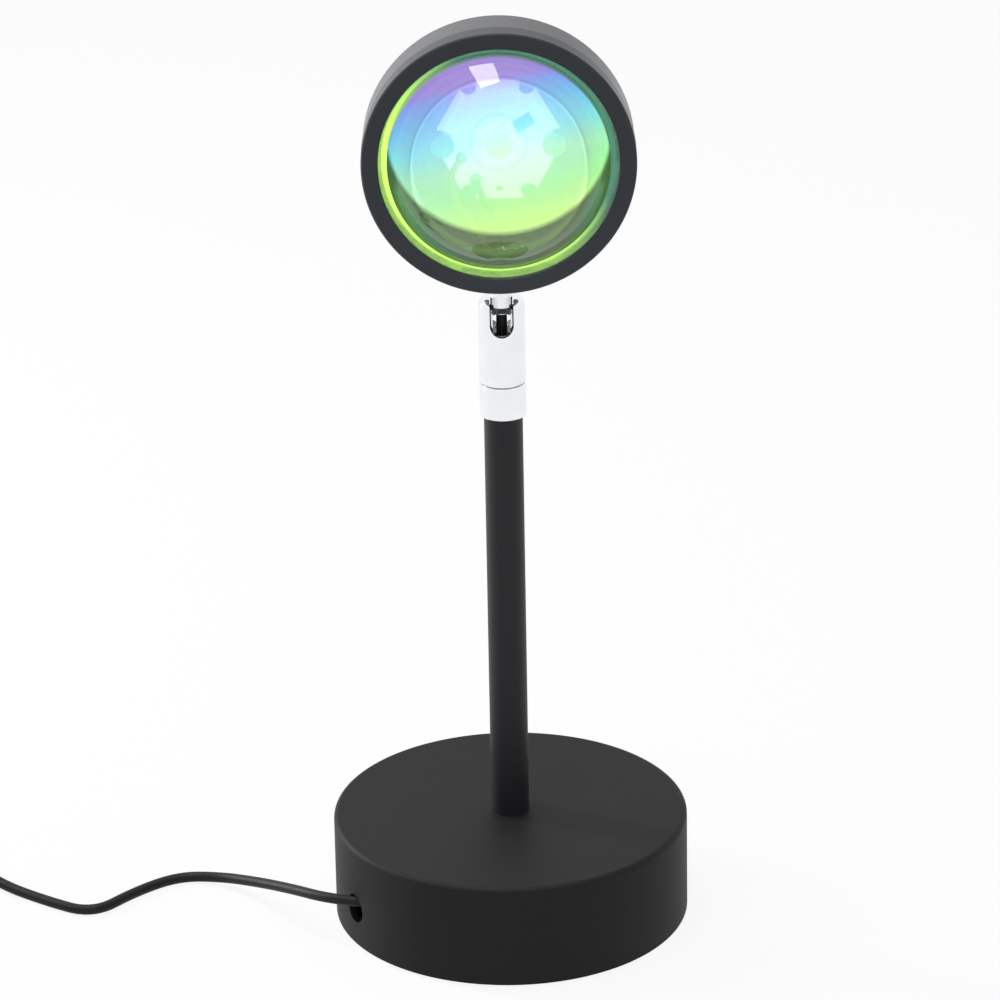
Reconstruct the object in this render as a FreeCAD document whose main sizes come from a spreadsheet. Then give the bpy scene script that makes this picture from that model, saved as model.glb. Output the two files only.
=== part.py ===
import FreeCAD, Part
import Sketcher
import math
import os

from FreeCAD import Placement, Rotation, Vector

# Sunset projection lamp: a weighted round foot, a slim pole, a chromed swivel with a tilting stem
# and a flat round head with a domed lens. Millimetres, +Z up, the head looks along -Y.
# The origin is the centre of the foot on the table.

# ---------------------------------------------------------------- driving dimensions
DIMENSIONS = {
    # foot
    "base_diameter": 100.0,
    "base_top": 30.5,
    "base_wall": 2.0,
    "base_plate": 2.5,
    "base_edge_round": 1.6,
    "base_rim_lift": 0.8,
    "pad_thickness": 2.0,
    "pad_inset": 3.5,
    "cover_thickness": 1.5,
    "cover_gap": 0.3,
    "weight_height": 10.5,
    "weight_gap": 0.8,
    "weight_web": 4.0,
    "weight_recess_diameter": 28.0,
    "boss_diameter": 9.0,
    "boss_inset": 13.0,
    "cover_screw_diameter": 3.0,
    "cover_screw_head": 5.6,
    "cover_screw_length": 9.0,
    # where the cord comes out of the foot, as an angle from the front towards the left
    "cord_diameter": 3.0,
    "cord_hole_diameter": 8.4,
    "cord_hole_height": 11.8,
    "cord_hole_angle": 62.0,
    # cord clamp under the weight
    "clamp_reach": 27.5,
    "clamp_width": 5.0,
    "clamp_span": 19.0,
    "clamp_thickness": 4.4,
    "clamp_screw_diameter": 2.5,
    "clamp_screw_head": 4.4,
    "clamp_screw_head_height": 2.0,
    "clamp_screw_length": 9.0,
    "clamp_screw_spacing": 12.0,
    # pole
    "pole_diameter": 10.7,
    "pole_wall": 1.0,
    "nipple_gap": 0.1,
    "nipple_wall": 1.2,
    "nipple_in_pole": 14.0,
    "nipple_below_nut": 1.0,
    "nut_flats": 14.0,
    "nut_height": 4.0,
    "washer_diameter": 17.0,
    "washer_thickness": 1.2,
    # swivel: a slotted sleeve turns on the collar and holds the ball of the stem
    "chrome_diameter": 12.9,
    "chrome_edge": 0.3,
    "collar_bottom": 151.7,
    "collar_socket": 6.0,
    "collar_web": 3.5,
    "collar_gap": 0.1,
    "swivel_washer_thickness": 0.3,
    "swivel_washer_diameter": 11.6,
    "bolt_diameter": 6.4,
    "bolt_bore": 4.0,
    "running_gap": 0.05,
    "bolt_head_diameter": 8.0,
    "bolt_head_height": 2.5,
    "bolt_short": 0.3,
    "spring_washer_thickness": 0.6,
    "plug_ring_height": 4.0,
    "collar_to_pivot": 27.9,
    "sleeve_bore": 11.0,
    "sleeve_above_pivot": 6.7,
    "sleeve_top_round": 2.5,
    "sleeve_slot": 6.5,
    "sleeve_top_hole": 6.6,
    "ball_gap": 0.3,
    "seat_gap": 0.2,
    "seat_bore": 5.2,
    "seat_cup_diameter": 8.4,
    "seat_spring_height": 1.6,
    "seat_spring_thickness": 0.5,
    # tilting stem
    "stem_diameter": 6.2,
    "stem_bore": 3.6,
    "stem_window": 4.8,
    "stem_window_above": 2.9,
    "stem_window_round": 1.2,
    "stem_thread": 4.8,
    "stem_seat_depth": 0.3,
    "stem_end": 0.6,
    "stem_washer_diameter": 7.2,
    "stem_washer_thickness": 0.5,
    "stem_nut_flats": 6.5,
    "stem_nut_height": 2.4,
    "thread_gap": 0.1,
    # head
    "pivot_to_housing": 11.65,
    "head_back": 6.0,
    "housing_diameter": 73.5,
    "housing_depth": 11.0,
    "housing_back_wall": 2.2,
    "housing_side_wall": 5.25,
    "housing_edge_round": 0.9,
    "bezel_proud": 0.25,
    "bezel_depth": 6.0,
    "bezel_wall": 1.65,
    "bezel_lip": 1.0,
    "bezel_face": 4.6,
    "bezel_chamfer": 0.35,
    "seam_chamfer": 0.25,
    "spigot_wall": 1.1,
    "spigot_gap": 0.15,
    "spigot_short": 0.4,
    "lens_gap": 0.2,
    "lens_rim": 2.4,
    "lens_dome_height": 17.0,
    "lens_flange": 3.0,
    "gasket_thickness": 0.5,
    "gasket_width": 2.4,
    "filter_thickness": 1.1,
    # light source
    "heat_pad_thickness": 0.3,
    "board_flats": 20.5,
    "board_thickness": 1.6,
    "board_notch": 3.2,
    "board_notch_circle": 21.2,
    "emitter_side": 6.2,
    "emitter_turn": 30.0,
    "emitter_base": 0.6,
    "emitter_disc": 5.2,
    "emitter_disc_height": 0.5,
    "resistor_length": 3.6,
    "resistor_width": 2.2,
    "resistor_height": 0.5,
    "resistor_across": 6.0,
    "resistor_up": 0.9,
    "board_screw_diameter": 2.5,
    "board_screw_head": 4.6,
    "board_screw_head_height": 1.3,
    "board_screw_length": 3.2,
    "lead_diameter": 1.2,
    "lead_spread": 0.8,
    # cord inside the foot, the pole and the stem
    "inner_bend_radius": 9.0,
    "cord_lie": 7.2,
    "cord_straight_in": 4.0,
    "cord_turn_in": 3.6,
    "cord_turn_clamp": 2.6,
    "cord_clamp_end": 33.0,
    "cord_drop_start": 21.0,
    "cord_drop_end": 13.0,
    "cord_join_height": 168.0,
    "cord_above_stem": 1.0,
    # inline switch
    "switch_x": -184.3,
    "switch_y": 30.9,
    "switch_heading": 165.0,
    "switch_length": 42.0,
    "switch_width": 15.0,
    "switch_height": 11.0,
    "switch_split": 5.5,
    "switch_wall": 1.5,
    "switch_round": 3.0,
    "switch_edge_round": 1.0,
    "button_length": 11.0,
    "button_width": 7.0,
    "button_gap": 0.3,
    "button_proud": 1.6,
    "button_round": 0.8,
    "button_travel": 1.2,
    "button_skirt": 1.2,
    "button_skirt_height": 1.0,
    "button_clearance": 0.2,
    "block_length": 31.0,
    "block_width": 9.0,
    "block_clearance": 0.3,
    # coil, tie and plug
    "coil_x": -210.5,
    "coil_y": 2.0,
    "coil_inner_radius": 11.0,
    "coil_pitch": 3.5,
    "tie_width": 4.0,
    "tie_thickness": 0.8,
    "tie_gap": 0.35,
    "plug_x": -202.62,
    "plug_y": -34.59,
    "plug_heading": -10.0,
    "plug_length": 25.0,
    "plug_width": 15.6,
    "plug_height": 8.2,
    "plug_round": 2.0,
    "plug_relief_length": 9.0,
    "plug_relief_diameter": 5.4,
    "plug_relief_tip": 4.2,
    "plug_shell_width": 12.0,
    "plug_shell_height": 4.5,
    "plug_shell_length": 12.0,
    "plug_shell_wall": 0.35,
    "plug_insert_height": 1.9,
    "plug_insert_short": 0.8,
    "plug_insert_gap": 0.15,
}

# Counts.
COVER_SCREW_COUNT = 3
BOARD_POINT_COUNT = 6
BOARD_SCREW_COUNT = 2
COIL_LAYER_COUNT = 4
COIL_TURN_COUNT = 3
COIL_NODE_COUNT = 4

# The cord on the table, from the foot to the switch: points chosen along the cord.
RUN = [
    (-44.4, -23.0, 13.8), (-52.0, -20.6, 13.6), (-62.5, -8.3, 10.4), (-73.0, 5.6, 5.6),
    (-84.0, 16.0, 2.0), (-96.0, 17.5, 1.55), (-108.0, 8.6, 1.55), (-119.4, -4.6, 1.55),
    (-134.0, 4.4, 1.55), (-147.5, 14.5, 1.9), (-158.2, 23.9, 5.5), (-169.2, 26.9, 5.5),
]
# From the switch to the coil, whose first turn it runs into.
LINK = [
    (-199.4, 34.9, 5.5), (-209.4, 37.6, 5.5), (-221.0, 39.0, 3.3), (-229.3, 31.6, 2.65),
    (-232.0, 18.0, 2.65), (-232.0, 5.0, 2.65),
]
# From the top of the coil down to the plug.
TAIL = [
    (-232.0, -1.0, 13.15), (-232.0, -10.0, 13.15), (-229.5, -20.5, 8.4), (-221.0, -29.5, 4.4),
    (-210.5, -33.2, 4.1), (-202.62, -34.59, 4.1),
]
# The two leads from the end of the cord to the board, in the head's own frame.
FRONT_LEAD = [(-1.6, -21.0, 6.3), (-5.2, -14.0, 6.5), (-9.0, -8.6, 6.2), (-8.6, -4.2, 4.9), (-6.9, -2.6, 4.9)]
BACK_LEAD = [(1.4, -21.5, 6.2), (-0.5, -15.0, 6.2), (-3.2, -9.6, 5.4), (-4.2, -6.6, 4.9)]


class Size:
    """A number of the sheet, or one worked out from it: the value, and the formula that binds it."""

    def __init__(self, formula, value):
        self.formula = formula
        self.value = float(value)

    def combine(self, sign, other, swapped=False):
        other = other if isinstance(other, Size) else number(other)
        a, b = (other, self) if swapped else (self, other)
        value = {
            "+": lambda: a.value + b.value,
            "-": lambda: a.value - b.value,
            "*": lambda: a.value * b.value,
            "/": lambda: a.value / b.value,
        }[sign]()
        return Size(f"({a.formula} {sign} {b.formula})", value)

    def __add__(self, other):
        return self.combine("+", other)

    def __sub__(self, other):
        return self.combine("-", other)

    def __mul__(self, other):
        return self.combine("*", other)

    def __truediv__(self, other):
        return self.combine("/", other)

    def __radd__(self, other):
        return self.combine("+", other, swapped=True)

    def __rsub__(self, other):
        return self.combine("-", other, swapped=True)

    def __rmul__(self, other):
        return self.combine("*", other, swapped=True)

    def __neg__(self):
        return 0 - self


def number(value):
    return Size(repr(float(value)), value)


def root(size):
    return Size(f"sqrt({size.formula})", math.sqrt(size.value))


def sine(degrees):
    return Size(f"sin({degrees.formula} * 1 deg)", math.sin(math.radians(degrees.value)))


def cosine(degrees):
    return Size(f"cos({degrees.formula} * 1 deg)", math.cos(math.radians(degrees.value)))


def arcsine(ratio):
    return Size(f"asin({ratio.formula})", math.degrees(math.asin(ratio.value)))


ZERO = number(0)


class Sizes:
    """The driving dimensions by name, each bound to its cell."""

    def __init__(self, sheet, values):
        for row, (name, value) in enumerate(values.items(), start=1):
            sheet.set(f"A{row}", name)
            sheet.set(f"B{row}", str(value))
            sheet.setAlias(f"B{row}", name)
            setattr(self, name, Size(f"sizes.{name}", value))


doc = FreeCAD.newDocument("sunset_lamp")
sheet = doc.addObject("Spreadsheet::Sheet", "sizes")
s = Sizes(sheet, DIMENSIONS)
doc.recompute()

NODES = []

UPRIGHT = Rotation()
Z_TO_FRONT = Rotation(Vector(1, 0, 0), 90)
# How near in millimetres a circle has to lie to the place given for it.
EDGE_TOLERANCE = 1e-4
ALONG_X = Rotation(Vector(0, 1, 0), 90)


# ---------------------------------------------------------------- modelling helpers
def bind(thing, prop, size):
    thing.setExpression(prop, size.formula)


def new_body(label):
    body = doc.addObject("PartDesign::Body", label)
    body.Label = label
    NODES.append(body)
    return body


def origin_feature(body, role):
    return next(f for f in body.Origin.OriginFeatures if f.Role == role)


def place(thing, x, y, z, rotation=UPRIGHT):
    """Binds where a body or a primitive lies."""
    thing.Placement = Placement(Vector(x.value, y.value, z.value), rotation)
    for axis, size in zip("xyz", (x, y, z)):
        bind(thing, f"Placement.Base.{axis}", size)


def in_head(body, turn=ZERO):
    """Head pieces are drawn with their axis along +Z, from the back of the head forwards."""
    turned_about_axis = Rotation(Vector(0, 0, 1), turn.value)
    place(body, ZERO, s.head_back, head_height, Z_TO_FRONT.multiply(turned_about_axis))


def new_sketch(body, role, offset=None):
    sketch = body.newObject("Sketcher::SketchObject", f"{body.Name}_sketch")
    sketch.AttachmentSupport = [(origin_feature(body, role), "")]
    sketch.MapMode = "FlatFace"
    if offset is not None:
        bind(sketch, "AttachmentOffset.Base.z", offset)
    return sketch


def pin(sketch, geometry, point, x, y):
    """Ties one point of the sketch to its place."""
    for kind, size, axis in (("DistanceX", x, -2), ("DistanceY", y, -1)):
        if size.value == 0:
            sketch.addConstraint(Sketcher.Constraint("PointOnObject", geometry, point, axis))
        elif size.value > 0:
            n = sketch.addConstraint(Sketcher.Constraint(kind, -1, 1, geometry, point, size.value))
            bind(sketch, f"Constraints[{n}]", size)
        else:
            n = sketch.addConstraint(Sketcher.Constraint(kind, geometry, point, -1, 1, -size.value))
            bind(sketch, f"Constraints[{n}]", -size)


def starts_at(curve, corner):
    """False for an arc that the sketch keeps running the other way round."""
    start = curve.StartPoint
    return math.hypot(start.x - corner[0].value, start.y - corner[1].value) < 1e-6


def draw_loop(sketch, corners, arcs=None):
    """A closed outline.

    arcs[i] is the radius of the edge after corner i, positive if it bulges to its left.
    """
    arcs = arcs or {}
    first = sketch.GeometryCount
    count = len(corners)
    for i, (x, y) in enumerate(corners):
        x2, y2 = corners[(i + 1) % count]
        a, b = Vector(x.value, y.value, 0), Vector(x2.value, y2.value, 0)
        if i in arcs:
            radius = arcs[i].value
            half = (b - a).Length / 2
            rise = abs(radius) - math.sqrt(radius * radius - half * half)
            leftwards = Vector(a.y - b.y, b.x - a.x, 0).normalize()
            through = (a + b) * 0.5 + leftwards * math.copysign(rise, radius)
            sketch.addGeometry(Part.Arc(a, through, b))
        else:
            sketch.addGeometry(Part.LineSegment(a, b))
    forwards = [starts_at(sketch.Geometry[first + i], corner) for i, corner in enumerate(corners)]
    for i, (x, y) in enumerate(corners):
        following = (i + 1) % count
        begin, end = (1, 2) if forwards[i] else (2, 1)
        next_begin = 1 if forwards[following] else 2
        sketch.addConstraint(Sketcher.Constraint("Coincident", first + i, end, first + following, next_begin))
        pin(sketch, first + i, begin, x, y)
    for i, radius in arcs.items():
        size = radius if radius.value > 0 else -radius
        n = sketch.addConstraint(Sketcher.Constraint("Radius", first + i, size.value))
        bind(sketch, f"Constraints[{n}]", size)


def draw_circle(sketch, x, y, diameter):
    n = sketch.addGeometry(Part.Circle(Vector(x.value, y.value, 0), Vector(0, 0, 1), diameter.value / 2))
    pin(sketch, n, 3, x, y)
    c = sketch.addConstraint(Sketcher.Constraint("Diameter", n, diameter.value))
    bind(sketch, f"Constraints[{c}]", diameter)


def rectangle(length, width, low=None):
    """Corners of a rectangle about the origin, or standing on a height."""
    x = length / 2
    y1, y2 = (-(width / 2), width / 2) if low is None else (low, low + width)
    return [(-x, y1), (x, y1), (x, y2), (-x, y2)]


def hexagon(flats):
    """Corners of a hexagon with two flats square to the V axis."""
    side = flats / math.sqrt(3)
    half = flats / 2
    return [
        (side, ZERO), (side / 2, half), (-(side / 2), half),
        (-side, ZERO), (-(side / 2), -half), (side / 2, -half),
    ]


def turned(body, corners):
    """A solid of revolution about the body's Z axis, from an outline of radius and height."""
    sketch = new_sketch(body, "XZ_Plane")
    draw_loop(sketch, corners)
    turn = body.newObject("PartDesign::Revolution", f"{body.Name}_turned")
    turn.Profile = sketch
    turn.ReferenceAxis = (sketch, ["V_Axis"])
    turn.Angle = 360
    doc.recompute()
    return turn


def ring(label, inner, outer, low, high):
    """A plain round ring or tube."""
    body = new_body(label)
    turned(body, [(inner, low), (outer, low), (outer, high), (inner, high)])
    return body


def grown(body, sketch, length, kind="PartDesign::Pad", both=False):
    """A pad or a pocket of the sketch."""
    feature = body.newObject(kind, f"{body.Name}_{kind.split('::')[1].lower()}")
    feature.Profile = sketch
    bind(feature, "Length", length)
    if both:
        feature.SideType = "Symmetric"
    doc.recompute()
    return feature


def padded(body, corners, low, height):
    """A flat outline grown upwards from a height."""
    sketch = new_sketch(body, "XY_Plane", low)
    draw_loop(sketch, corners)
    return grown(body, sketch, height)


def hollowed(body, corners, low, height):
    """The same, taken away."""
    before = body.Shape.Volume
    sketch = new_sketch(body, "XY_Plane", low)
    draw_loop(sketch, corners)
    pocket = body.newObject("PartDesign::Pocket", f"{body.Name}_pocket")
    pocket.Profile = sketch
    pocket.Reversed = True
    bind(pocket, "Length", height)
    doc.recompute()
    check_cut(body, before, pocket)
    return pocket


def cut_across(body, corners, arcs=None):
    """An outline seen from the front, cut right through the body from front to back."""
    before = body.Shape.Volume
    sketch = new_sketch(body, "XZ_Plane")
    draw_loop(sketch, corners, arcs)
    check_cut(body, before, grown(body, sketch, 4 * s.chrome_diameter, "PartDesign::Pocket", both=True))


def check_cut(body, before, feature):
    if body.Shape.Volume >= before:
        raise RuntimeError(f"{feature.Name} cuts nothing")


def bored(body, x, y, z, rotation, diameter, length):
    """A round hole cut into the body from a point, along the turned Z axis."""
    before = body.Shape.Volume
    hole = body.newObject("PartDesign::SubtractiveCylinder", f"{body.Name}_bore")
    bind(hole, "Radius", diameter / 2)
    bind(hole, "Height", length)
    place(hole, x, y, z, rotation)
    doc.recompute()
    check_cut(body, before, hole)
    return hole


def rod(body, x, y, low, high, diameter, top_diameter=None):
    """A round upright rod, or a cone where its top has another diameter."""
    kind = "PartDesign::AdditiveCone" if top_diameter else "PartDesign::AdditiveCylinder"
    feature = body.newObject(kind, f"{body.Name}_rod")
    if top_diameter:
        bind(feature, "Radius1", diameter / 2)
        bind(feature, "Radius2", top_diameter / 2)
    else:
        bind(feature, "Radius", diameter / 2)
    bind(feature, "Height", high - low)
    place(feature, x, y, low)
    doc.recompute()
    return feature


def balled(body, height, radius, cut=False, from_angle=None):
    """A ball on the Z axis, added or cut away, or only its cap above an angle of latitude."""
    before = body.Shape.Volume
    kind = "PartDesign::SubtractiveSphere" if cut else "PartDesign::AdditiveSphere"
    feature = body.newObject(kind, f"{body.Name}_ball")
    bind(feature, "Radius", radius)
    if from_angle is not None:
        bind(feature, "Angle1", from_angle)
    place(feature, ZERO, ZERO, height)
    doc.recompute()
    if cut:
        check_cut(body, before, feature)
    return feature


def repeated(body, features, count):
    """The features again, evenly round the Z axis."""
    pattern = body.newObject("PartDesign::PolarPattern", f"{body.Name}_ring")
    pattern.Originals = features
    pattern.Axis = (origin_feature(body, "Z_Axis"), [""])
    pattern.Angle = 360
    pattern.Occurrences = count
    body.Tip = pattern
    doc.recompute()
    return pattern


def round_edges(body, wanted):
    """Names of the round edges about the Z axis, one for each given radius and height."""
    found = []
    for n, edge in enumerate(body.Shape.Edges, start=1):
        if not isinstance(edge.Curve, Part.Circle):
            continue
        for radius, height in wanted:
            same_radius = abs(edge.Curve.Radius - radius.value) < EDGE_TOLERANCE
            same_height = abs(edge.Curve.Center.z - height.value) < EDGE_TOLERANCE
            if same_radius and same_height:
                found.append(f"Edge{n}")
    return found


def straight_edges(body, along, wanted):
    """Names of the straight edges along an axis, one for each given place on the other two axes."""
    found = []
    others = [k for k in range(3) if k != along]
    for n, edge in enumerate(body.Shape.Edges, start=1):
        ends = [vertex.Point for vertex in edge.Vertexes]
        if not isinstance(edge.Curve, Part.Line) or any(abs(ends[1][k] - ends[0][k]) > 1e-6 for k in others):
            continue
        for place_on in wanted:
            if all(abs(ends[0][k] - size.value) < 1e-4 for k, size in zip(others, place_on)):
                found.append(f"Edge{n}")
    return found


def eased(body, names, count, size, kind="PartDesign::Fillet"):
    """Rounds or chamfers the named edges, of which there must be so many."""
    if len(names) != count:
        raise RuntimeError(f"{body.Name}: {len(names)} edges found for {count}")
    base = body.Tip
    feature = body.newObject(kind, f"{body.Name}_{kind.split('::')[1].lower()}")
    feature.Base = (base, names)
    bind(feature, "Radius" if kind.endswith("Fillet") else "Size", size)
    doc.recompute()
    return feature


def rounded(body, wanted, size):
    eased(body, round_edges(body, wanted), len(wanted), size)


def chamfered(body, wanted, size):
    eased(body, round_edges(body, wanted), len(wanted), size, "PartDesign::Chamfer")


# ---------------------------------------------------------------- cords
def arc_between(a, corner, b):
    """The arc from a to b that is tangent to both legs of the corner between them."""
    lean = ((b - a).Length / 2) / (corner - a).Length
    middle = (a + b + corner * (2 * lean)) * (1 / (2 + 2 * lean))
    return Part.Arc(a, middle, b).toShape()


def rounded_route(points, radius=None, reaches=None):
    """Straight runs joined by tangent arcs: each as large as its runs allow, or of one radius.

    reaches gives, for single corners, how far the arc starts from the corner instead.
    """
    points = [Vector(*p) for p in points]
    edges, radii = [], []
    start = points[0]
    for i, (before, corner, after) in enumerate(zip(points, points[1:], points[2:]), start=1):
        run_in, run_out = corner - before, after - corner
        half_turn = run_in.getAngle(run_out) / 2
        reach = 0.45 * min(run_in.Length, run_out.Length)
        if radius:
            reach = (reaches or {}).get(i, radius * math.tan(half_turn))
        a = corner - run_in.normalize() * reach
        b = corner + run_out.normalize() * reach
        radii.append(reach / math.tan(half_turn))
        edges.append(Part.LineSegment(start, a).toShape())
        edges.append(arc_between(a, corner, b))
        start = b
    edges.append(Part.LineSegment(start, points[-1]).toShape())
    return edges, radii


def tube_along(edges, diameter):
    """A round tube along the edges, checked against its section times its length."""
    path = Part.Wire(edges)
    start = edges[0].valueAt(edges[0].FirstParameter)
    heading = edges[0].tangentAt(edges[0].FirstParameter)
    profile = Part.Wire(Part.makeCircle(diameter / 2, start, heading))
    solid = path.makePipeShell([profile], True, False)
    expected = math.pi * diameter ** 2 / 4 * path.Length
    if abs(solid.Volume / expected - 1) > 0.005:
        raise RuntimeError(f"tube of {solid.Volume:.1f} mm3, expected {expected:.1f}")
    return solid, path.Length


def add_tubes(label, solids):
    """A cord has no feature of its own, so its shape is set."""
    node = doc.addObject("Part::Feature", label)
    node.Label = label
    node.Shape = solids[0] if len(solids) == 1 else Part.makeCompound(solids)
    NODES.append(node)
    return node


def make_cord(label, points, radius=None, reaches=None):
    edges, radii = rounded_route(points, radius, reaches)
    solid, length = tube_along(edges, s.cord_diameter.value)
    shown = ", ".join(f"{r:.1f}" for r in radii)
    print(f"{label}: {length:.1f} mm long, radii {shown}")
    return add_tubes(label, [solid])


# ---------------------------------------------------------------- heights up the lamp
housing_radius = s.housing_diameter / 2
pivot_height = s.collar_bottom + s.collar_to_pivot
head_height = pivot_height + s.pivot_to_housing + housing_radius


# ---------------------------------------------------------------- foot
base_radius = s.base_diameter / 2
inner_radius = base_radius - s.base_wall
plate_under = s.base_top - s.base_plate
weight_bottom = plate_under - s.weight_height
weight_radius = inner_radius - s.weight_gap
nipple_diameter = s.pole_diameter - 2 * s.pole_wall - 2 * s.nipple_gap
nipple_hole = nipple_diameter / 2 + s.nipple_gap
cover_top = s.pad_thickness + s.cover_thickness
boss_reach = base_radius - s.boss_inset
cord_out_x = -sine(s.cord_hole_angle)
cord_out_y = -cosine(s.cord_hole_angle)
cord_groove = s.cord_diameter / 2 + s.thread_gap
cord_clamped = weight_bottom - cord_groove


def make_base_shell():
    body = new_body("base_shell")
    turned(body, [
        (nipple_hole, plate_under), (inner_radius, plate_under), (inner_radius, s.base_rim_lift),
        (base_radius, s.base_rim_lift), (base_radius, s.base_top), (nipple_hole, s.base_top),
    ])
    rounded(body, [(base_radius, s.base_top)], s.base_edge_round)
    outwards = Rotation(Vector(0, 0, 1), Vector(cord_out_x.value, cord_out_y.value, 0))
    half = inner_radius / 2
    bored(body, cord_out_x * half, cord_out_y * half, s.cord_hole_height, outwards,
          s.cord_hole_diameter, base_radius)


def make_counterweight():
    """A cast iron ring under the top plate, with a web that the pole's nut clamps and three bosses."""
    body = new_body("counterweight")
    recess = s.weight_recess_diameter / 2
    web = plate_under - s.weight_web
    turned(body, [
        (nipple_hole, web), (recess, web), (recess, weight_bottom), (weight_radius, weight_bottom),
        (weight_radius, plate_under), (nipple_hole, plate_under),
    ])
    boss = rod(body, ZERO, -boss_reach, cover_top, weight_bottom, s.boss_diameter)
    repeated(body, [boss], COVER_SCREW_COUNT)
    depth = s.cover_screw_length - s.cover_thickness
    tapping = bored(body, ZERO, -boss_reach, cover_top, UPRIGHT, s.cover_screw_diameter + s.thread_gap, depth)
    repeated(body, [tapping], COVER_SCREW_COUNT)
    for side in (-1, 1):
        x, y = clamp_screw_place(side)
        bored(body, x, y, weight_bottom, UPRIGHT, s.clamp_screw_diameter + s.thread_gap,
              s.clamp_screw_length - s.clamp_thickness)


def clamp_screw_place(side):
    """Where one of the clamp's two screws stands: side by side across the cord."""
    across = side * s.clamp_screw_spacing / 2
    x = cord_out_x * s.clamp_reach - cord_out_y * across
    y = cord_out_y * s.clamp_reach + cord_out_x * across
    return x, y


def make_bottom_cover():
    body = new_body("bottom_cover")
    radius = inner_radius - s.cover_gap
    turned(body, [(ZERO, s.pad_thickness), (radius, s.pad_thickness), (radius, cover_top), (ZERO, cover_top)])
    cone = body.newObject("PartDesign::SubtractiveCone", "bottom_cover_countersink")
    bind(cone, "Radius1", s.cover_screw_head / 2 + s.thread_gap)
    bind(cone, "Radius2", s.cover_screw_diameter / 2 + s.thread_gap)
    bind(cone, "Height", s.cover_thickness)
    place(cone, ZERO, -boss_reach, s.pad_thickness)
    doc.recompute()
    repeated(body, [cone], COVER_SCREW_COUNT)


def make_foot_pad():
    body = new_body("foot_pad")
    radius = base_radius - s.pad_inset
    turned(body, [(ZERO, ZERO), (radius, ZERO), (radius, s.pad_thickness), (ZERO, s.pad_thickness)])


def make_cover_screws():
    body = new_body("cover_screws")
    tip = s.pad_thickness + s.cover_screw_length
    head = rod(
        body, ZERO, -boss_reach, s.pad_thickness, cover_top, s.cover_screw_head, s.cover_screw_diameter,
    )
    shank = rod(body, ZERO, -boss_reach, cover_top, tip, s.cover_screw_diameter)
    repeated(body, [head, shank], COVER_SCREW_COUNT)


def make_cord_clamp():
    """A nylon saddle that holds the cord against the weight."""
    body = new_body("cord_clamp")
    half, high = s.clamp_span / 2, s.clamp_thickness
    sketch = new_sketch(body, "XZ_Plane")
    draw_loop(sketch, [
        (-half, -high), (half, -high), (half, ZERO), (cord_groove, ZERO), (cord_groove, -2 * cord_groove),
        (-cord_groove, -2 * cord_groove), (-cord_groove, ZERO), (-half, ZERO),
    ])
    grown(body, sketch, s.clamp_width, both=True)
    for side in (-1, 1):
        bored(body, side * s.clamp_screw_spacing / 2, ZERO, -high, UPRIGHT,
              s.clamp_screw_diameter + 2 * s.thread_gap, high)
    turn = Rotation(Vector(0, 0, -1), s.cord_hole_angle.value)
    place(body, cord_out_x * s.clamp_reach, cord_out_y * s.clamp_reach, weight_bottom, turn)


def make_clamp_screws():
    body = new_body("clamp_screws")
    seat = weight_bottom - s.clamp_thickness
    for side in (-1, 1):
        x, y = clamp_screw_place(side)
        rod(body, x, y, seat - s.clamp_screw_head_height, seat, s.clamp_screw_head)
        rod(body, x, y, seat, seat + s.clamp_screw_length, s.clamp_screw_diameter)


# ---------------------------------------------------------------- pole
pole_radius = s.pole_diameter / 2
pole_bore = pole_radius - s.pole_wall
pole_top = s.collar_bottom + s.collar_socket
web_under = plate_under - s.weight_web
nut_top = web_under - s.washer_thickness


def make_pole_tube():
    ring("pole_tube", pole_bore, pole_radius, s.base_top, pole_top)


def make_pole_nipple():
    """A short threaded pipe that ties the pole, the top plate and the weight together."""
    radius = nipple_diameter / 2
    low = nut_top - s.nut_height - s.nipple_below_nut
    ring("pole_nipple", radius - s.nipple_wall, radius, low, s.base_top + s.nipple_in_pole)


def make_pole_washer():
    ring("pole_washer", nipple_diameter / 2 + s.thread_gap, s.washer_diameter / 2, nut_top, web_under)


def make_nut(label, flats, bore, low, height):
    body = new_body(label)
    sketch = new_sketch(body, "XY_Plane", low)
    draw_loop(sketch, hexagon(flats))
    draw_circle(sketch, ZERO, ZERO, bore)
    grown(body, sketch, height)


def make_pole_nut():
    bore = nipple_diameter + 2 * s.thread_gap
    make_nut("pole_nut", s.nut_flats, bore, nut_top - s.nut_height, s.nut_height)


# ---------------------------------------------------------------- swivel
chrome_radius = s.chrome_diameter / 2
collar_top = pole_top + s.collar_web
sleeve_bottom = collar_top + s.swivel_washer_thickness
sleeve_top = pivot_height + s.sleeve_above_pivot
bolt_radius = s.bolt_diameter / 2
bolt_hole = bolt_radius + s.running_gap
plug_top = sleeve_bottom + s.plug_ring_height
spring_top = plug_top + s.seat_spring_height
bore_radius = s.sleeve_bore / 2
ball_radius = bore_radius - s.ball_gap
cup_radius = ball_radius + s.seat_gap


def make_lower_collar():
    """The chromed cap on the pole, which the sleeve turns on."""
    body = new_body("lower_collar")
    socket = pole_radius + s.collar_gap
    turned(body, [
        (socket, s.collar_bottom), (chrome_radius, s.collar_bottom), (chrome_radius, collar_top),
        (bolt_hole, collar_top), (bolt_hole, pole_top), (socket, pole_top),
    ])
    chamfered(body, [(chrome_radius, s.collar_bottom), (chrome_radius, collar_top)], s.chrome_edge)


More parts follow.
